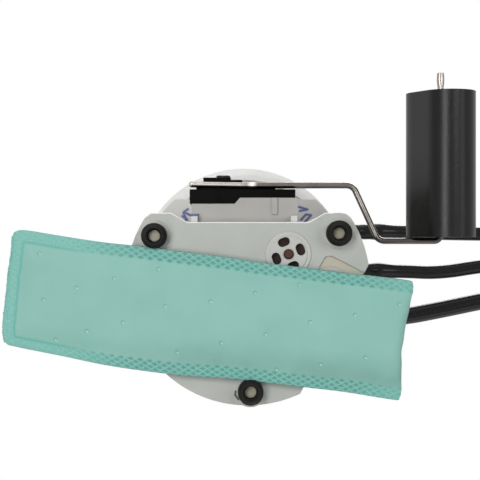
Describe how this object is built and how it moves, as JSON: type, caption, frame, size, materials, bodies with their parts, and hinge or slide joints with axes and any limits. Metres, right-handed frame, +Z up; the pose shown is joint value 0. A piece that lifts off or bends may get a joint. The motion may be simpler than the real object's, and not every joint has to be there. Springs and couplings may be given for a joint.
{
  "type": "fuel pump module",
  "caption": "In-tank fuel pump module: round flange on sprung guide rods over a reservoir with a turbine pump, sock strainer, rubber feet, level sensor with float arm, and black fuel lines.",
  "frame": {"origin": "centre of the flange's sealing face, at the top of the spigot", "axes": "+Z up out of the tank along the spigot's axis, +X towards the fuel lines and float, -Y towards the level sensor"},
  "size_m": [0.3812, 0.1664, 0.2261],
  "materials": {
    "natural_nylon": "satin translucent moulded",
    "flange_nylon": "satin moulded",
    "black_nylon": "satin moulded",
    "black_rubber": "matte moulded",
    "valve_rubber": "matte moulded",
    "strainer_mesh": "woven nylon mesh",
    "steel_rod": "drawn",
    "steel_wire": "drawn",
    "spring_steel": "drawn",
    "pump_can": "plated",
    "die_cast": "cast",
    "magnet": "sintered",
    "carbon": "pressed",
    "armature_core": "lacquered",
    "card_ceramic": "fired",
    "contact_metal": "plated",
    "brass_pin": "tinned",
    "float_foam": "matte closed-cell",
    "hose_nylon": "extruded",
    "impeller_resin": "moulded",
    "bronze": "sintered"
  },
  "bodies": {
    "flange": {"flange_cover": "flange_nylon", "feed_port": "flange_nylon", "return_port": "flange_nylon", "vapour_port": "flange_nylon", "connector_shell": "black_nylon", "connector_pins": "brass_pin", "vent_valve_housing": "black_nylon", "guide_rod_left": "steel_rod", "guide_rod_right": "steel_rod", "guide_rod_rear": "steel_rod", "rod_end_clips": "spring_steel", "spring_left": "spring_steel", "spring_right": "spring_steel", "spring_rear": "spring_steel", "feed_tube": "black_nylon", "return_tube": "natural_nylon", "feed_hose": "hose_nylon", "return_hose": "hose_nylon", "vapour_hose": "hose_nylon", "feed_coupler": "black_nylon", "return_coupler": "black_nylon", "vapour_coupler": "black_nylon"},
    "vent_plunger": {"vent_valve_plunger": "natural_nylon"},
    "reservoir": {"reservoir_bucket": "natural_nylon", "reservoir_lid": "natural_nylon", "base_plate": "natural_nylon", "foot_left": "black_rubber", "foot_right": "black_rubber", "foot_rear": "black_rubber", "inlet_valve": "valve_rubber", "strainer_neck": "natural_nylon", "strainer_sock": "strainer_mesh", "pump_shell": "pump_can", "pump_inlet_cover": "die_cast", "pump_channel_plate": "die_cast", "lower_bush": "bronze", "motor_magnets": "magnet", "motor_brushes": "carbon", "pump_outlet_cap": "black_nylon", "pump_isolator": "black_rubber", "sensor_bracket": "natural_nylon", "sensor_housing": "black_nylon", "resistor_card": "card_ceramic", "pivot_pin": "steel_rod"},
    "rotor": {"armature": "armature_core", "impeller": "impeller_resin"},
    "arm": {"arm_carrier": "black_nylon", "float_wire": "steel_wire", "wiper_contact": "contact_metal"},
    "float": {"float": "float_foam"}
  },
  "joints": [
    {"name": "reservoir_slide", "type": "slide", "parent": "flange", "child": "reservoir", "axis": [0, 0, 1], "range_m": [0, 0.034], "stiffness_N_per_m": 600, "springref_m": -0.04, "deforming": ["spring_left", "spring_right", "spring_rear", "feed_tube"]},
    {"name": "float_arm_swing", "type": "hinge", "parent": "reservoir", "child": "arm", "pos_m": [-0.0118, -0.048, -0.166], "axis": [0, -1, 0], "range_deg": [0, 32]},
    {"name": "float_turn", "type": "hinge", "parent": "arm", "child": "float", "pos_m": [0.094, -0.058, -0.175], "axis": [0, -1, 0], "continuous": true},
    {"name": "pump_spin", "type": "hinge", "parent": "reservoir", "child": "rotor", "pos_m": [0.026, 0.0005, -0.14], "axis": [0, 0, 1], "continuous": true},
    {"name": "vent_plunger_lift", "type": "slide", "parent": "flange", "child": "vent_plunger", "axis": [0, 0, 1], "range_m": [0, 0.0048]}
  ]
}
